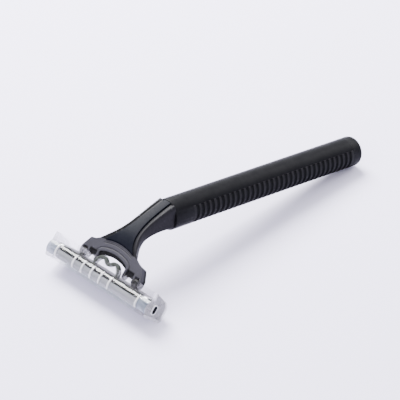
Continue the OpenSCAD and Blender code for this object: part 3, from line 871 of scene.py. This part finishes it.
class RAZOR_OT_grip_sleeve(RazorPart, bpy.types.Operator):
    """Adds the soft grip sleeve with its row of grooves"""

    bl_idname = "razor.grip_sleeve"
    bl_label = "Grip sleeve"

    def execute(self, context):
        sizes = context.scene.razor_handle
        radius, depth = mm(sizes.radius), mm(sizes.groove_depth)
        inner = radius - mm(sizes.grip_t)
        pitch = (grip_high.y - grip_low.y - 2 * mm(sizes.margin)) / sizes.grooves
        profile = [(inner, grip_low.y), (radius, grip_low.y)]
        for groove in range(sizes.grooves):
            y = grip_low.y + mm(sizes.margin) + groove * pitch
            profile += [(radius, y + 0.18 * pitch), (radius - depth, y + 0.3 * pitch),
                        (radius - depth, y + 0.7 * pitch), (radius, y + 0.82 * pitch)]
        profile += [(radius, grip_high.y), (inner, grip_high.y)]
        bm = bmesh.new()
        spin_into(bm, profile, 0, sizes.wrap, 100)
        closed_turning(bm)
        make_piece("grip_sleeve_piece", bm, HANDLE, "handle", "grip_rubber", ["grip_sleeve"],
                   0.13, 2, 28)
        return {"FINISHED"}


class RAZOR_OT_end_cap(RazorPart, bpy.types.Operator):
    """Adds the rounded end cap with its plug"""

    bl_idname = "razor.end_cap"
    bl_label = "End cap"

    def execute(self, context):
        sizes = context.scene.razor_handle
        radius, rounding, plug = mm(sizes.radius), mm(sizes.end_round), mm(sizes.bore) - 0.02
        profile = [(0, end_low.y), (plug - 0.3, end_low.y), (plug, end_low.y + 0.3),
                   (plug, tube_high.y), (radius, tube_high.y),
                   *arc((radius - rounding, end_high.y - rounding), rounding, 0, 90, 14),
                   (0, end_high.y)]
        bm = bmesh.new()
        spin_into(bm, profile, 0, math.tau, 144, close=False)
        closed_turning(bm)
        make_piece("end_cap_piece", bm, HANDLE, "handle", "handle_plastic", ["end_cap"], 0.12)
        return {"FINISHED"}


class RAZOR_OT_neck_yoke(RazorPart, bpy.types.Operator):
    """Adds the swept neck with its forked yoke"""

    bl_idname = "razor.neck_yoke"
    bl_label = "Neck and yoke"

    def execute(self, context):
        piece = build_yoke(context.scene.razor_neck)
        piece.data.materials.append(finish("yoke_plastic"))
        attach(piece, "handle")
        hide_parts("neck_yoke")
        return {"FINISHED"}


class RAZOR_OT_neck_panel(RazorPart, bpy.types.Operator):
    """Adds the raised panel along the neck"""

    bl_idname = "razor.neck_panel"
    bl_label = "Neck panel"

    def execute(self, context):
        bm = build_panel(context.scene.razor_neck)
        make_piece("neck_panel_piece", bm, HANDLE, "handle", "panel_plastic", ["neck_panel"], 0)
        return {"FINISHED"}


class RAZOR_OT_pivot_pins(RazorPart, bpy.types.Operator):
    """Adds the two pivot pins with chamfered ends"""

    bl_idname = "razor.pivot_pins"
    bl_label = "Pivot pins"

    def execute(self, context):
        radius, length_mm = pin_high.z, pin_high.x - pin_low.x
        middle = (pin_low.x + pin_high.x) / 2
        for side, node in ((-1, "pivot_pin_left"), (1, "pivot_pin_right")):
            bm = bmesh.new()
            made = bmesh.ops.create_cone(bm, cap_ends=True, segments=48, radius1=radius,
                                         radius2=radius, depth=length_mm)["verts"]
            bmesh.ops.rotate(bm, verts=made, cent=(0, 0, 0),
                             matrix=Matrix.Rotation(math.pi / 2, 3, "Y"))
            bmesh.ops.translate(bm, verts=made, vec=(side * middle, 0, 0))
            make_piece(node + "_piece", bm, HEAD, "handle", "pin_steel", [node], 0.1, 3)
        return {"FINISHED"}


class RAZOR_OT_return_spring(RazorPart, bpy.types.Operator):
    """Adds the looped return spring on the cartridge's back"""

    bl_idname = "razor.return_spring"
    bl_label = "Return spring"

    def execute(self, context):
        thick = 1.05
        steps = 12
        crest = spring_high.z - thick / 2
        dip, foot = 0.8 - thick / 2, cart_low.z + 4.5
        foot_x = spring_high.x - thick / 2
        loop_x = foot_x * 0.48
        turns = [1 - math.cos(math.radians(90 * i / steps)) for i in range(steps + 1)]
        outer = [foot_x - (foot_x - loop_x) * turn for turn in turns]
        inner = [loop_x * (1 - i / steps) for i in range(1, steps + 1)]

        def height(x):
            if x <= loop_x:
                return (crest + dip) / 2 - (crest - dip) / 2 * math.cos(math.pi * x / loop_x)
            share = (x - loop_x) / (foot_x - loop_x)
            return foot + (crest - foot) * math.sqrt(max(0.0, 1 - share * share))

        right = [(x, height(x)) for x in outer + inner]
        line = right + [(-x, z) for x, z in right[-2::-1]]
        bm = bmesh.new()
        _, edges = chain(bm, [(x, spring_low.y, z) for x, z in line])
        grown = bmesh.ops.extrude_edge_only(bm, edges=edges)["geom"]
        move_new(bm, grown, (0, spring_high.y - spring_low.y, 0))
        bmesh.ops.recalc_face_normals(bm, faces=bm.faces)
        piece = make_piece("return_spring_piece", bm, HEAD, "cartridge", "spring_plastic",
                           ["return_spring"], 0)
        wall = piece.modifiers.new("Strip thickness", "SOLIDIFY")
        wall.thickness = thick * MM
        wall.offset = 0
        wall.use_even_offset = True
        soften(piece, 0.16, 3, 50)
        return {"FINISHED"}


class RAZOR_OT_cartridge_body(RazorPart, bpy.types.Operator):
    """Adds the cartridge's frame and its front cover with softened edges"""

    bl_idname = "razor.cartridge_body"
    bl_label = "Cartridge frame and cover"

    def execute(self, context):
        carry_piece("cartridge_frame", "cartridge_plastic", 0.12)
        carry_piece("cartridge_cover", "cartridge_plastic", 0.08)
        return {"FINISHED"}


class RAZOR_OT_skin_strips(RazorPart, bpy.types.Operator):
    """Adds the lubricating strip and the finned guard strip"""

    bl_idname = "razor.skin_strips"
    bl_label = "Lubricating and guard strips"

    def execute(self, context):
        carry_piece("lubricating_strip", "strip_polymer", 0.04)
        carry_piece("guard_strip", "guard_rubber", 0.04)
        return {"FINISHED"}


class RAZOR_OT_blade_stack(RazorPart, bpy.types.Operator):
    """Adds the three blades and the spacers between them"""

    bl_idname = "razor.blade_stack"
    bl_label = "Blades and spacers"

    def execute(self, context):
        for node in ("blade_1", "blade_2", "blade_3"):
            carry_piece(node, "blade_steel", 0.008, 1)
        for node in ("blade_spacer_1", "blade_spacer_2"):
            carry_piece(node, "spacer_metal", 0.03, 1)
        return {"FINISHED"}


class RAZOR_OT_retaining_clips(RazorPart, bpy.types.Operator):
    """Adds the two metal retaining clips"""

    bl_idname = "razor.retaining_clips"
    bl_label = "Retaining clips"

    def execute(self, context):
        for node in ("retaining_clip_left", "retaining_clip_right"):
            carry_piece(node, "spacer_metal", 0.05, 2, 40)
        return {"FINISHED"}


CAP_ZONES = ("clear_plastic", "frosted", "smoky", "ribs", "walls", "clear_strip", "window")
WINDOW_MIDDLE = (-0.5, -4.1)   # (y, z) of the windows in the cap's ends
WINDOW_REACH = 1.4             # how far the window's edge is from its middle at most
WALL_T = 0.9                   # how deep the windows are
END_T = 0.3                    # length of the band's ends that belong to the walls
NEAR = 0.02                    # play in telling which face is which


class RAZOR_OT_protective_cap(RazorPart, bpy.types.Operator):
    """Adds the clear cap with its ribbed milky band and the oval window in each end"""

    bl_idname = "razor.protective_cap"
    bl_label = "Protective cap"

    def execute(self, context):
        sizes = context.scene.razor_cap
        bm = carried("protective_cap", HEAD)
        half = cap_high.x - mm(sizes.window_rim)
        low = cap_low.z + mm(sizes.nose_round) + 0.05
        middle = self.bulge(sizes, low)
        for face in bm.faces:
            spot = face.calc_center_median()
            if self.on_band(sizes, spot, half, low):
                zone = self.band_zone(sizes, face, spot, half, low, middle)
            else:
                zone = self.end_zone(spot, half)
            face.material_index = CAP_ZONES.index(zone)
        piece = make_piece("protective_cap_piece", bm, HEAD, "cap", "clear_plastic",
                           ["protective_cap"], 0, sharp=4)
        for name in CAP_ZONES[1:]:
            piece.data.materials.append(finish(name))
        return {"FINISHED"}

    def bulge(self, sizes, low):
        """Centre (y, z) and radius of the band's bulge."""
        chord, depth = mm(sizes.band_w), mm(sizes.band_bulge)
        radius = (chord * chord / 4 + depth * depth) / (2 * depth)
        return cap_low.y + mm(sizes.rib_h) + radius, low + chord / 2, radius

    def on_band(self, sizes, spot, half, low):
        """Whether a face's middle is on the band along the nose."""
        nose = cap_low.y + mm(sizes.rib_h) + mm(sizes.band_bulge)
        return (spot.y <= nose + NEAR and low < spot.z < low + mm(sizes.band_w)
                and abs(spot.x) <= half - END_T)

    def band_zone(self, sizes, face, spot, half, low, middle):
        """Rib, blue-grey end, milky part or clear strip."""
        surface = np.hypot(spot.y - middle[0], spot.z - middle[1])
        if surface > middle[2] + 0.1 or abs(face.normal.x) > 0.9:
            return "ribs"
        if abs(spot.x) > half - mm(sizes.rib_inset):
            return "smoky"
        if spot.z < low + mm(sizes.band_w) - mm(sizes.clear_w):
            return "frosted"
        return "clear_strip"

    def end_zone(self, spot, half):
        """Window rim, end wall, inner edge of a window painted near black as painted shade, or the clear rest."""
        across = math.hypot(spot.y - WINDOW_MIDDLE[0], spot.z - WINDOW_MIDDLE[1])
        if abs(spot.x) > half + NEAR:
            return "ribs"
        if abs(spot.x) > half - NEAR:
            return "walls"
        # Painted shade: the faces inside each window get a near-black finish
        if abs(spot.x) > half - WALL_T and across < WINDOW_REACH:
            return "window"
        return "clear_plastic"


LIGHTS = (("key", (-0.42, 0.16, 0.53), 0.42, 24),   # name, place, size, power
          ("fill", (0.1, -0.5, 0.35), 0.5, 3),
          ("back", (0.05, 0.6, 0.35), 0.4, 3.0))


class RAZOR_OT_stage(RazorPart, bpy.types.Operator):
    """Adds the floor, the lights and the camera"""

    bl_idname = "razor.stage"
    bl_label = "Stage"

    def execute(self, context):
        bm = bmesh.new()
        bmesh.ops.create_grid(bm, x_segments=8, y_segments=8, size=3)
        floor = loose_object("floor", bm)
        made, _, shader = new_material("Pale floor")
        shader.inputs["Base Color"].default_value = (*context.scene.razor_finishes.floor, 1)
        shader.inputs["Roughness"].default_value = 0.7
        floor.data.materials.append(made)

        world = bpy.data.worlds.new("Soft room")
        context.scene.world = world
        world.use_nodes = True
        sky = world.node_tree.nodes["Background"]
        sky.inputs["Color"].default_value = (0.95, 0.95, 1.0, 1)
        sky.inputs["Strength"].default_value = 1.25
        for row in LIGHTS:
            self.light(*row)
        self.camera(context)
        return {"FINISHED"}

    def light(self, name, place, size, power):
        data = bpy.data.lights.new(name, "AREA")
        data.energy = power
        data.size = size
        lamp = bpy.data.objects.new(name, data)
        lamp.location = place
        towards = Vector((0, 0, 0.01)) - lamp.location
        lamp.rotation_euler = towards.to_track_quat("-Z", "Y").to_euler()
        bpy.context.scene.collection.objects.link(lamp)

    def camera(self, context):
        azimuth, elevation, distance = math.radians(46.78), math.radians(33.25), 0.7345
        target = Vector((0.00409, -0.01686, 0.02007))
        away = Vector((math.sin(azimuth) * math.cos(elevation),
                       -math.cos(azimuth) * math.cos(elevation), math.sin(elevation)))
        data = bpy.data.cameras.new("camera")
        data.lens = 210.5
        data.clip_start = 0.01
        camera = bpy.data.objects.new("camera", data)
        camera.location = target + away * distance
        camera.rotation_euler = (-away).to_track_quat("-Z", "Y").to_euler()
        context.scene.collection.objects.link(camera)
        context.scene.camera = camera


PARTS = (RAZOR_OT_handle_tube, RAZOR_OT_grip_sleeve, RAZOR_OT_end_cap, RAZOR_OT_neck_yoke,
         RAZOR_OT_neck_panel, RAZOR_OT_pivot_pins, RAZOR_OT_return_spring, RAZOR_OT_cartridge_body,
         RAZOR_OT_skin_strips, RAZOR_OT_blade_stack, RAZOR_OT_retaining_clips,
         RAZOR_OT_protective_cap, RAZOR_OT_stage)
SIZES = (("razor_handle", RazorHandleSizes), ("razor_neck", RazorNeckSizes),
         ("razor_cap", RazorCapSizes), ("razor_finishes", RazorFinishes))


class RAZOR_PT_panel(bpy.types.Panel):
    """Sizes, finishes and pieces of the razor"""

    bl_idname = "RAZOR_PT_panel"
    bl_label = "Razor"
    bl_space_type = "VIEW_3D"
    bl_region_type = "UI"
    bl_category = "Razor"

    def draw(self, context):
        for name, group in SIZES:
            box = self.layout.box()
            box.label(text=group.__doc__.rstrip("."))
            settings = getattr(context.scene, name)
            for key in group.__annotations__:
                box.prop(settings, key)
        for part in PARTS:
            self.layout.operator(part.bl_idname)


def register():
    for name, group in SIZES:
        bpy.utils.register_class(group)
        setattr(bpy.types.Scene, name, PointerProperty(type=group))
    for cls in (*PARTS, RAZOR_PT_panel):
        bpy.utils.register_class(cls)


def unregister():
    for cls in reversed((*PARTS, RAZOR_PT_panel)):
        bpy.utils.unregister_class(cls)
    for name, group in reversed(SIZES):
        delattr(bpy.types.Scene, name)
        bpy.utils.unregister_class(group)


def main():
    register()
    for part in PARTS:
        section, name = part.bl_idname.split(".")
        getattr(getattr(bpy.ops, section), name)()


if __name__ == "__main__":
    main()
